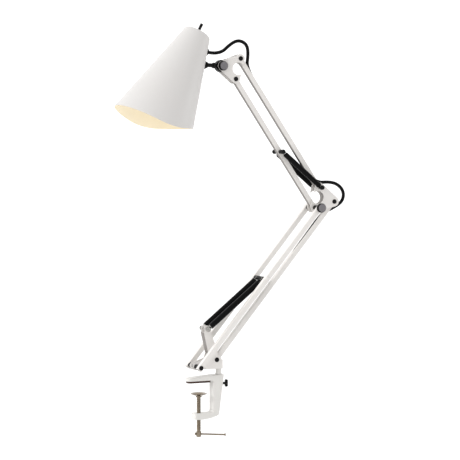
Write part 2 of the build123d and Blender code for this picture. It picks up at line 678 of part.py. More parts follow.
def bars():
    plain = PIN_RADIUS + RUNNING
    loose = PIN_RADIUS + SIDE_GAP
    lower_pins = [(0, plain), (LOWER_LENGTH * LOWER_SPRING_SHARE, plain), (LOWER_LENGTH, loose)]
    upper_pins = [(0, plain), (UPPER_LENGTH * UPPER_SPRING_SHARE, plain), (UPPER_LENGTH, loose)]
    lower_front = (PIVOT_1, LOWER_ANGLE, LOWER_LENGTH, lower_pins)
    lower_plain = [(0, plain), (LOWER_LENGTH, plain)]
    upper_plain = [(0, plain), (UPPER_LENGTH, plain)]
    return {
        "lower_front_bar_near": channel_bar(*lower_front, -TWIN_Y),
        "lower_front_bar_far": channel_bar(*lower_front, TWIN_Y),
        "lower_rear_bar": channel_bar(PIVOT_2, LOWER_ANGLE, LOWER_LENGTH, lower_plain),
        "upper_front_bar": channel_bar(ELBOW_1, UPPER_ANGLE, UPPER_LENGTH, upper_pins),
        "upper_rear_bar": channel_bar(ELBOW_3, UPPER_ANGLE, UPPER_LENGTH, upper_plain),
    }


def springs():
    nodes = {}
    sets = (("lower", HORN, LOWER_SPRING_PIN, LOWER_SPRING_Y, LOWER_SLEEVE_RADIUS, LOWER_BARE),
            ("upper", ELBOW_3, UPPER_SPRING_PIN, UPPER_SPRING_Y, UPPER_SLEEVE_RADIUS, UPPER_BARE))
    for name, start, end, y, radius, bare in sets:
        for side, sign in (("near", -1), ("far", 1)):
            nodes[f"{name}_spring_{side}"] = spring(start, end, sign * y, radius, bare)
            nodes[f"{name}_sleeve_{side}"] = sleeve(start, end, sign * y, radius, bare)
    return nodes


def assembly():
    lead_head_shade, lead_head_arm = head_leads()
    lead_elbow_upper, lead_elbow_lower = elbow_leads()
    nodes = {
        "clamp_frame": clamp_frame(),
        "clamp_pad": clamp_pad(),
        "spindle_bush": spindle_bush(),
        "lock_screw": lock_screw(),
        "lock_wing": lock_wing(),
        "pressure_plate": pressure_plate(),
        "clamp_screw": clamp_screw(),
        "tommy_bar": tommy_bar(),
        "spindle": spindle(),
        "base_bracket": base_bracket(),
        "lower_front_pin": rivet(PIVOT_1, TWIN_OUTER),
        "lower_front_spacers": spacers(PIVOT_1, PLATE_Y, TWIN_INNER),
        "lower_rear_pin": rivet(PIVOT_2, PLATE_Y),
        "lower_spring_anchor": rivet(HORN, LOWER_SPRING_Y + 4),
        "lower_spring_pin": rivet(LOWER_SPRING_PIN, TWIN_OUTER),
        "lead_gland": lead_gland(),
        "lead_lower": lead([LOWER_TOP, LOWER_FOOT]),
        "lead_elbow_lower": lead_elbow_lower,
        "lead_elbow_upper": lead_elbow_upper,
        "lead_upper": lead([UPPER_FOOT, UPPER_TOP]),
        "lead_head_arm": lead_head_arm,
        "lead_head_shade": lead_head_shade,
        "elbow_bracket": elbow_bracket(),
        "elbow_axle": elbow_axle(),
        "elbow_spacers": spacers(ELBOW_1, PLATE_Y, TWIN_INNER),
        "elbow_rear_pin": rivet(ELBOW_2, PLATE_Y),
        "upper_spring_anchor": rivet(ELBOW_3, UPPER_SPRING_Y + 4),
        "elbow_knob": knob(ELBOW_1, TWIN_OUTER),
        "elbow_knob_cap": knob_cap(ELBOW_1, TWIN_OUTER),
        "upper_spring_pin": rivet(UPPER_SPRING_PIN, UPPER_SPRING_Y + 4),
        "head_bracket": head_bracket(),
        "head_front_pin": rivet(HEAD_1, PLATE_Y),
        "head_rear_pin": rivet(HEAD_2, PLATE_Y),
        "head_bolt": head_bolt(),
        "head_knob": knob(HUB, PLATE_Y),
        "head_knob_cap": knob_cap(HUB, PLATE_Y),
        "head_hub": head_hub(),
        "stem": stem(),
        "stem_flange": stem_flange(),
        "stem_nut": stem_nut(),
        "shade": shade(),
        "switch_body": switch_body(),
        "switch_lever": switch_lever(),
        "lampholder": lampholder(),
        "bulb_cap": bulb_cap(),
        "bulb_glass": bulb_glass(),
        "lead_grommet": lead_grommet(),
    }
    return {**nodes, **bars(), **springs()}


os.makedirs("parts", exist_ok=True)
for name, solid in assembly().items():
    export_step(solid, f"parts/{name}.step")
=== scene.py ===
"""Clamp-on balanced-arm desk lamp, white with black fittings, on a pale studio floor."""
import math
import bmesh
import bpy
from mathutils import Matrix, Vector


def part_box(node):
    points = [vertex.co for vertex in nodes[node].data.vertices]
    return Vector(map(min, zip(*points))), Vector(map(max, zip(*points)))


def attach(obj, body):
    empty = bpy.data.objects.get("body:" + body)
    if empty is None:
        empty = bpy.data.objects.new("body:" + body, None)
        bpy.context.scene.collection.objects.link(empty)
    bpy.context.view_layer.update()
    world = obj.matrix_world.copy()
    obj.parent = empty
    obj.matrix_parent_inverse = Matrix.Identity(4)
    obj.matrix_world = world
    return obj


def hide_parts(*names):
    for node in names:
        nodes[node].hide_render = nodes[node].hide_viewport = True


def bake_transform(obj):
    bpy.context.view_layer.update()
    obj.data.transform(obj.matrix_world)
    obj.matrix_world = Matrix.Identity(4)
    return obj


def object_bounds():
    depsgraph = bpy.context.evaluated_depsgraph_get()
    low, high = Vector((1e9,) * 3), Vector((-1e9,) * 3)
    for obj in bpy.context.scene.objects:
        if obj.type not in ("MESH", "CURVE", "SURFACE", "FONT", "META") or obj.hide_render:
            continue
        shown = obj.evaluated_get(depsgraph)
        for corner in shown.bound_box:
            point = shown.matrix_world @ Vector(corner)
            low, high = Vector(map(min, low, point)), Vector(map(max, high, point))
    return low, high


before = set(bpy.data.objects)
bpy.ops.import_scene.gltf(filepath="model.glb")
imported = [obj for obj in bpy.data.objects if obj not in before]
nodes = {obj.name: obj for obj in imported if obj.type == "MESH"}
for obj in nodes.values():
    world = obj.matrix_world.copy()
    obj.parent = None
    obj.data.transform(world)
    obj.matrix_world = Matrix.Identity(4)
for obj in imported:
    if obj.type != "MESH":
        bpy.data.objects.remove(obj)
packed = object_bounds()

# Clamp frame, base and folded arms: cast and pressed steel under one coat of warm white powder
# paint, with the fine orange peel that such a coat keeps; the sheet parts get painted shade underneath.
GLOSS_SPREAD = 0.08
# The way of the faces that get painted shade on the sheet parts: down and to the left.
PAINTED_SHADE_SIDE = (-0.78, 0.0, -0.62)


def linear(code):
    """An sRGB hex colour as linear red, green, blue and alpha."""
    parts = [int(code[i:i + 2], 16) / 255 for i in (0, 2, 4)]
    return tuple(p / 12.92 if p <= 0.04045 else ((p + 0.055) / 1.055) ** 2.4 for p in parts) + (1.0,)


def add(tree, kind, inputs=None, **settings):
    """A node with its settings, and with its inputs given as constants or as sockets to link."""
    node = tree.nodes.new(kind)
    for name, value in settings.items():
        setattr(node, name, value)
    for name, value in (inputs or {}).items():
        if isinstance(value, bpy.types.NodeSocket):
            tree.links.new(value, node.inputs[name])
        else:
            node.inputs[name].default_value = value
    return node


def finish_of(name, colour, tint, patch, grain, depth, roughness, **constants):
    """A finish with a soft change of tint and gloss over patches and a fine grain, in metres."""
    material = bpy.data.materials.new(name)
    material.use_nodes = True
    tree = material.node_tree
    shader = tree.nodes["Principled BSDF"]
    place = add(tree, "ShaderNodeTexCoord").outputs["Object"]
    cloud = add(tree, "ShaderNodeTexNoise", {"Vector": place, "Scale": 1 / patch, "Detail": 4.0})
    mixed = add(tree, "ShaderNodeMix", {0: cloud.outputs[0], 6: linear(tint), 7: linear(colour)}, data_type="RGBA")
    gloss = add(tree, "ShaderNodeMapRange", {
        "Value": cloud.outputs[0], "From Min": 0.3, "From Max": 0.7,
        "To Min": roughness + GLOSS_SPREAD, "To Max": roughness - GLOSS_SPREAD})
    fine = add(tree, "ShaderNodeTexNoise", {"Vector": place, "Scale": 1 / grain, "Detail": 2.0})
    bump = add(tree, "ShaderNodeBump", {"Height": fine.outputs[0], "Distance": depth, "Strength": 1.0})
    tree.links.new(mixed.outputs[2], shader.inputs["Base Color"])
    tree.links.new(gloss.outputs[0], shader.inputs["Roughness"])
    tree.links.new(bump.outputs[0], shader.inputs["Normal"])
    for socket, value in constants.items():
        shader.inputs[socket.replace("_", " ")].default_value = value
    return material


def dress(material, *names):
    for name in names:
        nodes[name].data.materials.clear()
        nodes[name].data.materials.append(material)


def mix_in(material, share, colour):
    """Mixes a second colour into a finish, where share is a socket of the finish's own tree."""
    tree = material.node_tree
    shader = tree.nodes["Principled BSDF"]
    plain = shader.inputs["Base Color"].links[0].from_socket
    mixed = add(tree, "ShaderNodeMix", {0: share, 6: plain, 7: linear(colour)}, data_type="RGBA")
    tree.links.new(mixed.outputs[2], shader.inputs["Base Color"])


# The eye sees it by its broad soft highlight and by the orange peel close to.
casting_paint = finish_of("White coat on casting", "D0CECA", "CBC9C5", 0.060, 0.0013, 0.00006, 0.42)
dress(casting_paint, "clamp_frame", "spindle")
# The eye sees the sheet by the same coat, and by painted shade on the faces that look down and to
# the left, which draws a thin dark line along each bar.
paint = finish_of("White powder coat on sheet", "D0CCC8", "D8D5D2", 0.060, 0.0011, 0.00004, 0.40)
# Painted shade: the coat turns towards dark grey 6E6965 where a face looks down and to the left.
looking = add(paint.node_tree, "ShaderNodeTexCoord").outputs["Normal"]
painted_shade_dot = add(paint.node_tree, "ShaderNodeVectorMath", {0: looking, 1: PAINTED_SHADE_SIDE}, operation="DOT_PRODUCT")
painted_shade_share = add(paint.node_tree, "ShaderNodeMapRange", {
    "Value": painted_shade_dot.outputs["Value"], "From Min": 0.6, "From Max": 0.9})
mix_in(paint, painted_shade_share.outputs[0], "6E6965")
dress(paint, "base_bracket", "lower_front_bar_near", "lower_front_bar_far", "lower_rear_bar", "elbow_bracket",
      "upper_front_bar", "upper_rear_bar", "head_bracket")

# Pad under the upper jaw: cork rubber glued on, dark brown, with granules a millimetre or two
# across that show as lighter specks.
pad = finish_of("Dark cork rubber", "4A3328", "23160F", 0.0018, 0.0009, 0.00015, 0.82)
dress(pad, "clamp_pad")

# Spindle bush: white nylon, pressed into the column, seen only as the ring under the spindle.
nylon = finish_of("White nylon", "D6D3CC", "CBC8C0", 0.009, 0.0004, 0.00001, 0.45)
dress(nylon, "spindle_bush")

# Wing screw that locks the spindle: blackened steel screw with a moulded wing.
black_steel = finish_of("Black oxide steel", "171718", "0E0E0E", 0.012, 0.0006, 0.00001, 0.40,
                        Specular_IOR_Level=0.10)
black_plastic = finish_of("Moulded black plastic", "111010", "0A0A0A", 0.020, 0.0005, 0.00003, 0.42,
                          Specular_IOR_Level=0.07)
dress(black_steel, "lock_screw")
dress(black_plastic, "lock_wing")

# Clamp screw, cup and sliding bar: steel with thin nickel plate gone brownish with handling. The
# screw is rolled with a coarse thread, and its head is cross drilled for the bar.
SCREW_ROOT = 0.00355
SCREW_CREST = 0.0040
SCREW_TOP = -0.0277
SCREW_PITCH = 0.00125
SCREW_BEVEL = 0.0008
THREAD_WIRE = 0.00045
THREAD_GAP = 0.002
HEAD_RADIUS = 0.0048
HEAD_MIDDLE = -0.0984
HEAD_HALF = 0.0055
HEAD_BEVEL = 0.0010
CROSS_HOLE = 0.00166
CROSS_REACH = 0.02
CROSS_TURN = math.radians(-33.0)
SHARP_FROM = math.radians(35)


def skin(name, rings, caps=True):
    """A closed mesh through equal rings of points, capped at its ends or joined last to first."""
    count = len(rings[0])
    points = [point for ring in rings for point in ring]
    faces = []
    for i in range(len(rings) - 1 if caps else len(rings)):
        a, b = i * count, (i + 1) % len(rings) * count
        faces += [(a + k, a + (k + 1) % count, b + (k + 1) % count, b + k) for k in range(count)]
    if caps:
        faces += [tuple(range(count)), tuple(range(len(points) - count, len(points)))]
    mesh = bpy.data.meshes.new(name)
    mesh.from_pydata(points, [], faces)
    work = bmesh.new()
    work.from_mesh(mesh)
    bmesh.ops.recalc_face_normals(work, faces=work.faces)
    work.to_mesh(mesh)
    work.free()
    mesh.shade_smooth()
    mesh.set_sharp_from_angle(angle=SHARP_FROM)
    return mesh


def circle(radius, height, steps):
    turns = [2 * math.pi * k / steps for k in range(steps)]
    return [Vector((radius * math.cos(t), radius * math.sin(t), height)) for t in turns]


def lathe(name, profile, steps=48, caps=True):
    return skin(name, [circle(radius, height, steps) for radius, height in profile], caps)


def piece_of(mesh, material):
    piece = bpy.data.objects.new(mesh.name, mesh)
    bpy.context.scene.collection.objects.link(piece)
    mesh.materials.clear()
    mesh.materials.append(material)
    return piece


def group_of(name, inputs):
    """An empty node group that takes and gives geometry, with its other inputs by name."""
    tree = bpy.data.node_groups.new(name, "GeometryNodeTree")
    tree.interface.new_socket("Geometry", in_out="INPUT", socket_type="NodeSocketGeometry")
    for label, kind in inputs.items():
        tree.interface.new_socket(label, in_out="INPUT", socket_type="NodeSocket" + kind)
    tree.interface.new_socket("Geometry", in_out="OUTPUT", socket_type="NodeSocketGeometry")
    return tree, add(tree, "NodeGroupInput").outputs


def close_group(tree, given, made):
    """Joins what the group made to the piece's own mesh, in its material."""
    whole = add(tree, "GeometryNodeJoinGeometry", {"Geometry": given["Geometry"]})
    tree.links.new(made, whole.inputs["Geometry"])
    plain = add(tree, "GeometryNodeRealizeInstances", {"Geometry": whole.outputs[0]})
    coated = add(tree, "GeometryNodeSetMaterial", {"Geometry": plain.outputs[0], "Material": given["Material"]})
    add(tree, "NodeGroupOutput", {"Geometry": coated.outputs[0]})


def settle(piece, tree, **values):
    """Runs a node group on a piece with these inputs, and keeps the result as its plain mesh."""
    modifier = piece.modifiers.new(tree.name, "NODES")
    modifier.node_group = tree
    for socket in tree.interface.items_tree:
        if socket.in_out == "INPUT" and socket.name.replace(" ", "_") in values:
            modifier[socket.identifier] = values[socket.name.replace(" ", "_")]
    bpy.context.view_layer.update()
    made = bpy.data.meshes.new_from_object(piece.evaluated_get(bpy.context.evaluated_depsgraph_get()))
    piece.modifiers.remove(modifier)
    made.materials.clear()
    made.materials.append(values["Material"])
    piece.data = made
    return piece


coil, given = group_of("Wound wire", {"Turns": "Float", "Radius": "Float", "Height": "Float", "Start": "Vector",
                                      "Wire": "Float", "Steps": "Int", "Material": "Material"})
spiral = add(coil, "GeometryNodeCurveSpiral", {
    "Resolution": given["Steps"], "Rotations": given["Turns"], "Start Radius": given["Radius"],
    "End Radius": given["Radius"], "Height": given["Height"]})
wire_section = add(coil, "GeometryNodeCurvePrimitiveCircle", {"Resolution": 10, "Radius": given["Wire"]})
wound = add(coil, "GeometryNodeCurveToMesh", {
    "Curve": spiral.outputs[0], "Profile Curve": wire_section.outputs[0], "Fill Caps": True})
raised = add(coil, "GeometryNodeTransform", {"Geometry": wound.outputs[0], "Translation": given["Start"]})
close_group(coil, given, raised.outputs[0])

# The eye sees it by the brownish cast of its reflections and the streaks along it.
nickel = finish_of("Handled nickel plate", "918677", "6A5E50", 0.007, 0.0007, 0.00001, 0.24, Metallic=1.0)
head_top, head_foot = HEAD_MIDDLE + HEAD_HALF, HEAD_MIDDLE - HEAD_HALF
screw_mesh = lathe("clamp_screw_threaded", [
    (SCREW_ROOT - SCREW_BEVEL, SCREW_TOP), (SCREW_ROOT, SCREW_TOP - SCREW_BEVEL), (SCREW_ROOT, head_top),
    (HEAD_RADIUS - HEAD_BEVEL, head_top), (HEAD_RADIUS, head_top - HEAD_BEVEL),
    (HEAD_RADIUS, head_foot + HEAD_BEVEL), (HEAD_RADIUS - HEAD_BEVEL, head_foot)])
screw = piece_of(screw_mesh, nickel)
drill = piece_of(lathe("cross_hole", [(CROSS_HOLE, -CROSS_REACH), (CROSS_HOLE, CROSS_REACH)]), nickel)
across = Matrix.Rotation(CROSS_TURN, 4, "Z") @ Matrix.Rotation(math.pi / 2, 4, "Y")
drill.data.transform(Matrix.Translation((0, 0, HEAD_MIDDLE)) @ across)
bored = screw.modifiers.new("Cross hole", "BOOLEAN")
bored.object, bored.operation = drill, "DIFFERENCE"
bpy.context.view_layer.update()
screw.data = bpy.data.meshes.new_from_object(screw.evaluated_get(bpy.context.evaluated_depsgraph_get()))
screw.modifiers.clear()
bpy.data.objects.remove(drill)
thread_run = SCREW_TOP - head_top - 2 * THREAD_GAP
settle(screw, coil, Turns=thread_run / SCREW_PITCH, Radius=SCREW_CREST - THREAD_WIRE, Height=thread_run,
       Start=(0, 0, head_top + THREAD_GAP), Wire=THREAD_WIRE, Steps=20, Material=nickel)
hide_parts("clamp_screw")
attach(screw, "screw")
dress(nickel, "pressure_plate", "tommy_bar")

# Pins and spacers: black rivets with domed heads, and black tubes that hold the twin bars clear of
# the brackets.
dress(black_plastic, "lower_front_spacers", "elbow_spacers")
dress(black_steel, "lower_front_pin", "lower_rear_pin", "elbow_axle", "elbow_rear_pin", "upper_spring_anchor",
      "upper_spring_pin", "head_front_pin", "head_rear_pin", "head_bolt")

# Cross pins of the springs: the lower one is black between the bars, with its riveted heads under the
# bars' white coat. Short black tubes keep the springs' eyes in their places along both.
PAINTED_FROM = 0.0225
COLLAR_BORE = 0.00256
TUBE_STEPS = 28
LOWER_COLLAR = 0.0040
LOWER_COLLARS = ((-0.0220, -0.0137), (-0.0117, 0.0117), (0.0137, 0.0220))
UPPER_COLLAR = 0.0036
UPPER_COLLARS = ((-0.0199, -0.0170), (-0.0150, -0.0050), (0.0050, 0.0150), (0.0170, 0.0199))

pin_coat = finish_of("Black pin with painted heads", "111010", "0A0A0A", 0.012, 0.0006, 0.00001, 0.40)
along_pin = add(pin_coat.node_tree, "ShaderNodeSeparateXYZ", {
    0: add(pin_coat.node_tree, "ShaderNodeTexCoord").outputs["Object"]})
off_middle = add(pin_coat.node_tree, "ShaderNodeMath", {0: along_pin.outputs["Y"]}, operation="ABSOLUTE")
painted = add(pin_coat.node_tree, "ShaderNodeMath", {0: off_middle.outputs[0], 1: PAINTED_FROM},
              operation="GREATER_THAN")
mix_in(pin_coat, painted.outputs[0], "D0CDCA")
dress(pin_coat, "lower_spring_pin")


def pivot(name, y=0.0):
    """The middle of a CAD pin, in the arm plane or beside it."""
    low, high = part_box(name)
    return Vector(((low.x + high.x) / 2, y, (low.z + high.z) / 2))


for pin, body, radius, spans in (("lower_spring_pin", "lower_front", LOWER_COLLAR, LOWER_COLLARS),
                                 ("upper_spring_pin", "upper_front", UPPER_COLLAR, UPPER_COLLARS)):
    for number, (start, end) in enumerate(spans, 1):
        outline = [(COLLAR_BORE, start), (radius, start), (radius, end), (COLLAR_BORE, end)]
        collar = piece_of(lathe(f"{pin}_tube_{number}", outline, TUBE_STEPS, caps=False), black_plastic)
        collar.data.transform(Matrix.Translation(pivot(pin)) @ Matrix.Rotation(-math.pi / 2, 4, "X"))
        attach(collar, body)

# Springs: close-wound wire, zinc bright below and blackened above, with an open eye at each end
# hooked over the pins. Black PVC tube covers all but the eyes and a turn of the coil. Each spring is
# made in lengths.
WIRE = 0.0009
WIRE_STEPS = 10
PITCH = 2.1 * WIRE
COIL_GAP = 0.0002
EYE = 0.00346
SLEEVE_INSET = 0.0012
SLEEVE_WALL = 0.0010
SLEEVE_LIP = 0.0003
SLEEVE_ROW = 0.0030
LOWER_SPRING_Y = 0.0127
LOWER_SLEEVE = 0.0055
LOWER_BARE = (0.0072, 0.0070)
UPPER_SPRING_Y = 0.0160
UPPER_SLEEVE = 0.0051
UPPER_BARE = (0.0058, 0.0081)
# Places along each spring, and the share of the joint's turn that each of them takes.
LOWER_SHARES = ((0.0, 0.0), (0.0405, 0.11), (0.25, 0.46), (1.0, 1.0))
UPPER_SHARES = ((0.0, 0.0), (0.0421, 0.46), (0.25, 0.76), (1.0, 1.0))


def tube(name, path, radius, side, steps=20):
    """A round tube along a flat path, where side is the path plane's normal."""
    rings = []
    for i, point in enumerate(path):
        ahead = (path[min(i + 1, len(path) - 1)] - path[max(i - 1, 0)]).normalized()
        across = ahead.cross(side)
        turns = [2 * math.pi * k / steps for k in range(steps)]
        rings.append([point + radius * (math.cos(t) * across + math.sin(t) * side) for t in turns])
    return skin(name, rings)


def run_frame(start, end):
    """Local z runs from start to end, and local x lies along the pins."""
    along, across = (end - start).normalized(), Vector((0, 1, 0))
    beside = along.cross(across)
    return Matrix.Translation(start) @ Matrix((across, beside, along)).transposed().to_4x4()


bright_wire = finish_of("Bright spring wire", "B6B4B0", "74726E", 0.004, 0.0003, 0.00001, 0.28, Metallic=1.0)
dress(bright_wire, "lower_spring_anchor")
vinyl = finish_of("Black PVC tube", "0E0D0E", "080808", 0.030, 0.0015, 0.00003, 0.33, Specular_IOR_Level=0.06)


def hook_line(reach, wound_radius):
    """An open eye round a pin at the origin, and the shank from it to the coil's first turn."""
    turns = [math.radians(a) for a in range(-150, 91, 8)]
    eye = [Vector((0, EYE * math.sin(t), -EYE * math.cos(t))) for t in turns]
    shank = [Vector((0, EYE + (wound_radius - EYE) * k / 4, reach * (0.25 + 0.75 * k / 4))) for k in range(1, 5)]
    return eye + shank


def sleeve_outline(foot, top, radius, ends):
    """The outline of a length of sleeve, with its edge rounded at the sleeve's own ends."""
    rows = max(2, round((top - foot) / SLEEVE_ROW))
    heights = [foot + (top - foot) * k / rows for k in range(rows + 1)]
    outside = [(radius, height) for height in heights]
    if foot == ends[0]:
        outside[:1] = [(radius - SLEEVE_LIP, foot), (radius, foot + SLEEVE_LIP)]
    if top == ends[1]:
        outside[-1:] = [(radius, top - SLEEVE_LIP), (radius - SLEEVE_LIP, top)]
    return outside + [(radius - SLEEVE_WALL, height) for height in reversed(heights)]


def sprung(label, start_pin, end_pin, y, radius, bare, wire, shares):
    """A spring between two pins and its sleeve, where bare is the length clear of the sleeve at each pin.
    Shares are places along it where it is cut into lengths; the share of the joint's turn given with each place is
    not used."""
    start, end = pivot(start_pin, y), pivot(end_pin, y)
    run = end - start
    span = run.length
    place = run_frame(start, end)
    covered = bare[0], span - bare[1]
    wound = covered[0] - SLEEVE_INSET, covered[1] + SLEEVE_INSET
    wound_radius = radius - SLEEVE_WALL - WIRE - COIL_GAP
    flip = Matrix.Translation((0, 0, span)) @ Matrix.Rotation(math.pi, 4, "X")
    hooks = {1: hook_line(wound[0], wound_radius),
             len(shares) - 1: [flip @ point for point in hook_line(span - wound[1], wound_radius)]}
    for number, ((low, low_share), (high, high_share)) in enumerate(zip(shares, shares[1:]), 1):
        name = f"{label}_wire_{number}"
        if number in hooks:
            mesh = tube(name, hooks[number], WIRE, Vector((1, 0, 0)), WIRE_STEPS)
        else:
            mesh = bpy.data.meshes.new(name)
        spring = piece_of(mesh, wire)
        foot, top = max(low * span, wound[0]), min(high * span, wound[1])
        if top - foot > WIRE:
            settle(spring, coil, Turns=round((top - foot) / PITCH) + 0.0, Radius=wound_radius,
                   Height=top - foot, Start=(0, 0, foot), Wire=WIRE, Steps=14, Material=wire)
        made = [(spring, label, "spring_wire")]
        foot, top = max(low * span, covered[0]), min(high * span, covered[1])
        if top - foot > WIRE:
            sleeve = label.replace("spring", "sleeve")
            outline = sleeve_outline(foot, top, radius, covered)
            cover = lathe(f"{sleeve}_tube_{number}", outline, TUBE_STEPS, caps=False)
            made.append((piece_of(cover, vinyl), sleeve, "sleeve"))
        for piece, node, slot in made:
            piece.data.transform(place)
            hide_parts(node)
            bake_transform(piece)


for side, sign in (("near", -1), ("far", 1)):
    sprung("lower_spring_" + side, "lower_spring_anchor", "lower_spring_pin", sign * LOWER_SPRING_Y,
           LOWER_SLEEVE, LOWER_BARE, bright_wire, LOWER_SHARES)
    sprung("upper_spring_" + side, "upper_spring_anchor", "upper_spring_pin", sign * UPPER_SPRING_Y,
           UPPER_SLEEVE, UPPER_BARE, black_steel, UPPER_SHARES)

# Knobs on the elbow and the head: black moulded knobs with a fluted rim, screwed on the bolts by
# hand, each with a grey disc pressed into its face.
KNOB_RADIUS = 0.0090
KNOB_RIB = 0.00055
KNOB_BORE = 0.00256
KNOB_RIBS = 30
KNOB_STEPS = 60
KNOB_BEVEL = 0.0010
KNOB_ROUND = (0.0003, 0.0004)
KNOB_RECESS = 0.0006
RIB_SHORT = 0.0016
RIB_SHIFT = 0.0003

ribs, given = group_of("Ribs round a rim", {"Count": "Int", "Radius": "Float", "Rib": "Float", "Length": "Float",
                                            "Start": "Vector", "Material": "Material"})
rim = add(ribs, "GeometryNodeMeshCircle", {"Vertices": given["Count"], "Radius": given["Radius"]})
rib = add(ribs, "GeometryNodeMeshCylinder", {"Vertices": 10, "Radius": given["Rib"], "Depth": given["Length"]})
spread = add(ribs, "GeometryNodeInstanceOnPoints", {"Points": rim.outputs[0], "Instance": rib.outputs[0]})
moved = add(ribs, "GeometryNodeTransform", {"Geometry": spread.outputs[0], "Translation": given["Start"]})
close_group(ribs, given, moved.outputs[0])

disc_grey = finish_of("Satin grey disc", "6F6C6F", "625F62", 0.010, 0.0008, 0.00001, 0.42)


def fluted_knob(node, body):
    """A knob over its CAD node, with its face towards the near side and a disc in it."""
    low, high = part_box(node)
    depth = high.y - low.y
    rim_radius = KNOB_RADIUS - KNOB_RIB
    outline = [(KNOB_BORE, 0.0), (rim_radius, 0.0), (rim_radius, depth - KNOB_BEVEL),
               (rim_radius - KNOB_ROUND[0], depth - KNOB_ROUND[1]), (rim_radius - KNOB_BEVEL, depth),
               (KNOB_BORE, depth), (KNOB_BORE, depth - KNOB_RECESS)]
    knob = piece_of(lathe(node + "_fluted", outline, KNOB_STEPS, caps=False), black_plastic)
    settle(knob, ribs, Count=KNOB_RIBS, Radius=rim_radius, Rib=KNOB_RIB, Length=depth - RIB_SHORT,
           Start=(0, 0, depth / 2 - RIB_SHIFT), Material=black_plastic)
    place = Matrix.Translation(((low.x + high.x) / 2, high.y, (low.z + high.z) / 2))
    knob.data.transform(place @ Matrix.Rotation(math.pi / 2, 4, "X"))
    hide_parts(node)
    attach(knob, body)
    dress(disc_grey, node + "_cap")


fluted_knob("elbow_knob", "elbow_knob")
fluted_knob("head_knob", "head_knob")

# Hub, stem and its fixings on the shade: black. The hub is clamped between the bracket's cheeks.
dress(black_plastic, "head_hub", "stem_flange")
dress(black_steel, "stem", "stem_nut")

# Shade: spun steel cone with a rolled shoulder, white outside and cream inside. Its mouth is cut
# square in front and rises behind, and its edge is rounded over.
SHADE_TOP = Vector((-0.000838, 0.0, 0.663898))
SHADE_TILT = math.radians(27.8)
TOP_RADIUS = 0.0252
MOUTH_RADIUS = 0.0790
SHADE_LENGTH = 0.198
SHADE_WALL = 0.0012
SHOULDER = 0.0070
BUSH_HOLE = 0.00496
BUSH_RIM = 0.006
EDGE_ROUND = 0.0004
SHADE_STEPS = 128
SHOULDER_STEPS = 8
RISE = math.radians(26.2)
BLEND = 0.1335
BLEND_START = -0.0183
flare = math.atan((MOUTH_RADIUS - TOP_RADIUS) / SHADE_LENGTH)
shade_place = Matrix.Translation(SHADE_TOP) @ Matrix.Rotation(SHADE_TILT, 4, "Y")


def mouth_height(x):
    """The mouth's height at a place across the shade, front to back."""
    end = BLEND_START + BLEND * math.sin(RISE)
    if x <= BLEND_START:
        return -SHADE_LENGTH
    if x <= end:
        return -SHADE_LENGTH + BLEND - math.sqrt(BLEND ** 2 - (x - BLEND_START) ** 2)
    return -SHADE_LENGTH + BLEND * (1 - math.cos(RISE)) + (x - end) * math.tan(RISE)


def mouth_drop(inset, turn):
    """How far below the top a face meets the mouth at one turn round the axis, found by halving."""
    low, high = 0.05, 0.25
    for _ in range(40):
        drop = (low + high) / 2
        radius = TOP_RADIUS + drop * math.tan(flare) - inset / math.cos(flare)
        low, high = (drop, high) if -drop > mouth_height(radius * math.cos(turn)) else (low, drop)
    return low


def shade_side(inset, turn, rows=26):
    """Points down the outer or inner face at one turn round the axis, from the top to the mouth."""
    middle = TOP_RADIUS + SHOULDER * math.tan(flare) - SHOULDER / math.cos(flare)
    radius = SHOULDER - inset
    line = [(BUSH_HOLE, -inset), (BUSH_HOLE + BUSH_RIM, -inset)]
    for k in range(SHOULDER_STEPS + 1):
        angle = math.pi / 2 + (flare - math.pi / 2) * k / SHOULDER_STEPS
        line.append((middle + radius * math.cos(angle), radius * math.sin(angle) - SHOULDER))
    first, last = -line[-1][1], mouth_drop(inset, turn)
    for k in range(1, rows + 1):
        drop = first + (last - first) * k / rows
        line.append((TOP_RADIUS + drop * math.tan(flare) - inset / math.cos(flare), -drop))
    return line


columns = []
for k in range(SHADE_STEPS):
    turn = 2 * math.pi * k / SHADE_STEPS
    outside, inside = shade_side(0.0, turn), shade_side(SHADE_WALL, turn)
    edge = ((outside[-1][0] + inside[-1][0]) / 2, (outside[-1][1] + inside[-1][1]) / 2 - EDGE_ROUND)
    columns.append([Vector((r * math.cos(turn), r * math.sin(turn), z))
                    for r, z in outside + [edge] + inside[::-1]])
shade_mesh = skin("shade_spun", [list(ring) for ring in zip(*columns)], caps=False)
# The eye sees the outside by its duller, softer sheen than the arms have.
shade_paint = finish_of("Satin white coat", "C2C0BE", "C2BFBD", 0.080, 0.0011, 0.00003, 0.50)
# The eye sees the inside by the even glow of the lit bulb on a cream coat.
cream = finish_of("Cream coat inside", "EEE4CC", "EADFC4", 0.060, 0.0011, 0.00004, 0.45)
shade = piece_of(shade_mesh, shade_paint)
shade_mesh.materials.append(cream)
outer_rows = len(shade_side(0.0, 0.0))
for face in shade_mesh.polygons:
    row = face.index // SHADE_STEPS
    face.material_index = 1 if outer_rows <= row < 2 * outer_rows else 0
shade_mesh.transform(shade_place)
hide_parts("shade")
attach(shade, "head")

# Switch, lampholder and bulb: black moulded parts hang from the shade's top, with a plated cap and
# a frosted bulb that is lit.
dress(black_plastic, "switch_body", "switch_lever", "lampholder", "lead_grommet", "lead_gland")
plated = finish_of("Plated screw cap", "D2D2D0", "B0B0AE", 0.006, 0.0006, 0.00001, 0.25, Metallic=1.0)
dress(plated, "bulb_cap")
frosted = finish_of("Frosted bulb glass", "F6F1E6", "EFE7D6", 0.020, 0.0008, 0.00002, 0.35, IOR=1.5,
                    Emission_Color=linear("FFE0AC"), Emission_Strength=0.45)
dress(frosted, "bulb_glass")

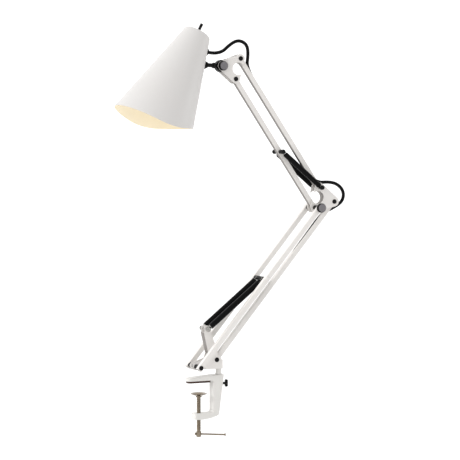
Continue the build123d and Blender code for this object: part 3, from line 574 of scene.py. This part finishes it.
# Lead: round black PVC cable. It leaves the shade by a grommet, loops over the head joint, runs in
# the rear bar, loops round the elbow and goes down the lower bar to the gland at its foot.
LEAD_RADIUS = 0.00325
LEAD_DROP = 0.0249
LEAD_OUT = 0.0267
LEAD_IN = 0.001
LEAD_STEPS = 30
END_CORNERS = 24
UPPER_OUT = 0.037
TOP_OUT = 0.028
# Distances from the shade's wall or a bar's end, one for each loop piece.
BEND_SHADE = 0.008
BEND_HEAD = 0.034
BEND_UPPER = 0.026
BEND_LOWER = 0.030
# Spots of the loops in millimetres from the pin that they go round.
HEAD_LOOP = [(-14.0, 31.0), (3.0, 35.0), (17.5, 26.0), (19.0, 6.0)]
ELBOW_LOOP = [(2.0, 39.3), (24.5, 22.8), (23.5, 1.3), (5.0, -10.9)]


def beside(name, spots):
    """Points of the arm plane given in millimetres from a pin."""
    return [pivot(name) + Vector((x, 0.0, z)) / 1000 for x, z in spots]


def lead_ends(node):
    """The two ends of a straight CAD lead, lower end first."""
    corners = sorted((v.co for v in nodes[node].data.vertices), key=lambda co: co.z)
    foot = sum(corners[:END_CORNERS], Vector()) / END_CORNERS
    top = sum(corners[-END_CORNERS:], Vector()) / END_CORNERS
    return foot, top


def soft_line(name, points):
    """Points along the smooth line that a cable takes over its control points."""
    data = bpy.data.curves.new(name, "CURVE")
    data.dimensions, data.resolution_u = "3D", 12
    spline = data.splines.new("NURBS")
    spline.points.add(len(points) - 1)
    for spot, point in zip(spline.points, points):
        spot.co = (*point, 1.0)
    spline.order_u = 3
    spline.use_endpoint_u = True
    holder = bpy.data.objects.new(name, data)
    bpy.context.scene.collection.objects.link(holder)
    bpy.context.view_layer.update()
    mesh = bpy.data.meshes.new_from_object(holder.evaluated_get(bpy.context.evaluated_depsgraph_get()))
    line = [v.co.copy() for v in mesh.vertices]
    bpy.data.objects.remove(holder)
    return line


def parted(line, split):
    """The line cut in two at the point nearest the split."""
    at = min(range(len(line)), key=lambda i: (line[i] - split).length)
    return line[:at + 1], line[at:]


rubber = finish_of("Black PVC lead", "0E0D0E", "080808", 0.025, 0.0012, 0.00003, 0.40, Specular_IOR_Level=0.07)
ACROSS = Vector((0, 1, 0))


def lead_piece(node, path):
    piece = piece_of(tube(node + "_tube", path, LEAD_RADIUS, ACROSS), rubber)
    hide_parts(node)
    return piece


upper_foot, upper_top = lead_ends("lead_upper")
lower_foot, lower_top = lead_ends("lead_lower")
for node, body, ends in (("lead_upper", "upper_rear", (upper_foot, upper_top)),
                         ("lead_lower", "lower_rear", (lower_foot, lower_top))):
    path = [ends[0].lerp(ends[1], k / LEAD_STEPS) for k in range(LEAD_STEPS + 1)]
    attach(lead_piece(node, path), body)

upper_run = (upper_top - upper_foot).normalized()
lower_run = (lower_top - lower_foot).normalized()
outward = shade_place.to_3x3() @ Vector((math.cos(flare), 0.0, math.sin(flare)))
grommet = shade_place @ Vector((TOP_RADIUS + LEAD_DROP * math.tan(flare), 0.0, -LEAD_DROP))
head_spots = beside("head_rear_pin", HEAD_LOOP)
head_split = (head_spots[0] + head_spots[1]) / 2
head_line = soft_line("head_loop", [grommet - outward * LEAD_IN, grommet + outward * LEAD_OUT] + head_spots
                      + [upper_top + upper_run * TOP_OUT, upper_top])
shade_part, arm_part = parted(head_line, head_split)
elbow_spots = beside("elbow_rear_pin", ELBOW_LOOP)
elbow_split = (elbow_spots[0] + elbow_spots[1]) / 2
elbow_line = soft_line("elbow_loop", [upper_foot, upper_foot - upper_run * UPPER_OUT] + elbow_spots
                       + [lower_top + lower_run * TOP_OUT, lower_top])
upper_part, lower_part = parted(elbow_line, elbow_split)
for node, path, bodies, start, end in (
        ("lead_head_shade", shade_part, ("head", "head_frame"), grommet + outward * BEND_SHADE, head_split),
        ("lead_head_arm", arm_part, ("upper_rear", "head_frame"), upper_top + upper_run * BEND_HEAD, head_split),
        ("lead_elbow_upper", upper_part, ("upper_rear", "elbow"), upper_foot - upper_run * BEND_UPPER, elbow_split),
        ("lead_elbow_lower", lower_part, ("lower_rear", "elbow"), lower_top + lower_run * BEND_LOWER, elbow_split)):
    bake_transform(lead_piece(node, path))

# Studio: a pale floor in a bright room whose light falls off towards the front right, with a window's
# light from the upper left and a weak one from the right. The lamp hangs on a desk's edge, so the
# floor leaves room for the clamp screw at its lowest.
FLOOR_DROP = 0.032
FLOOR_X = 30
FLOOR_Y = (-30, 60)
ROOM_BRIGHT = (-0.55, 0.70, 0.45)
floor_mesh = bpy.data.meshes.new("floor")
low = packed[0].z - FLOOR_DROP
floor_mesh.from_pydata([(-FLOOR_X, FLOOR_Y[0], low), (FLOOR_X, FLOOR_Y[0], low),
                        (FLOOR_X, FLOOR_Y[1], low), (-FLOOR_X, FLOOR_Y[1], low)], [], [(0, 1, 2, 3)])
floor_white = finish_of("Pale studio floor", "FAFAFA", "F7F7F7", 0.5, 0.02, 0.00001, 0.7)
floor = piece_of(floor_mesh, floor_white)

world = bpy.data.worlds.new("Bright room")
bpy.context.scene.world = world
world.use_nodes = True
tree = world.node_tree
toward = add(tree, "ShaderNodeTexCoord").outputs["Generated"]
facing = add(tree, "ShaderNodeVectorMath", {0: toward, 1: ROOM_BRIGHT}, operation="DOT_PRODUCT")
level = add(tree, "ShaderNodeMapRange", {"Value": facing.outputs["Value"], "From Min": -1.0, "From Max": 1.0,
                                         "To Min": 0.6, "To Max": 1.6})
tree.links.new(level.outputs[0], tree.nodes["Background"].inputs["Strength"])
tree.nodes["Background"].inputs["Color"].default_value = linear("FFFFFF")
for name, energy, width, way in (("Window light", 0.9, 12, (0.88, 0.22, -0.42)),
                                 ("Light from the right", 0.35, 20, (-0.95, 0.10, -0.20))):
    light_data = bpy.data.lights.new(name, "SUN")
    light_data.energy, light_data.angle = energy, math.radians(width)
    light = bpy.data.objects.new(name, light_data)
    light.rotation_euler = Vector(way).to_track_quat("-Z", "Y").to_euler()
    bpy.context.scene.collection.objects.link(light)
bpy.context.scene.view_settings.view_transform = "Standard"

# Camera: a little above the arms and to the left of square to them, about three metres off.
CAMERA_TURN = math.radians(-24.0)
CAMERA_RISE = math.radians(2.694)
CAMERA_RANGE = 3.247
VIEW_WIDTH = 460 * 0.00191
SENSOR = 36.0
target = Vector((0.0652, 0.0, 0.2892))
back = Vector((math.sin(CAMERA_TURN) * math.cos(CAMERA_RISE), -math.cos(CAMERA_TURN) * math.cos(CAMERA_RISE),
               math.sin(CAMERA_RISE)))
camera_data = bpy.data.cameras.new("Camera")
camera_data.sensor_width = SENSOR
camera_data.lens = SENSOR * CAMERA_RANGE / VIEW_WIDTH
camera = bpy.data.objects.new("Camera", camera_data)
camera.location = target + back * CAMERA_RANGE
camera.rotation_euler = (-back).to_track_quat("-Z", "Y").to_euler()
bpy.context.scene.collection.objects.link(camera)
bpy.context.scene.camera = camera
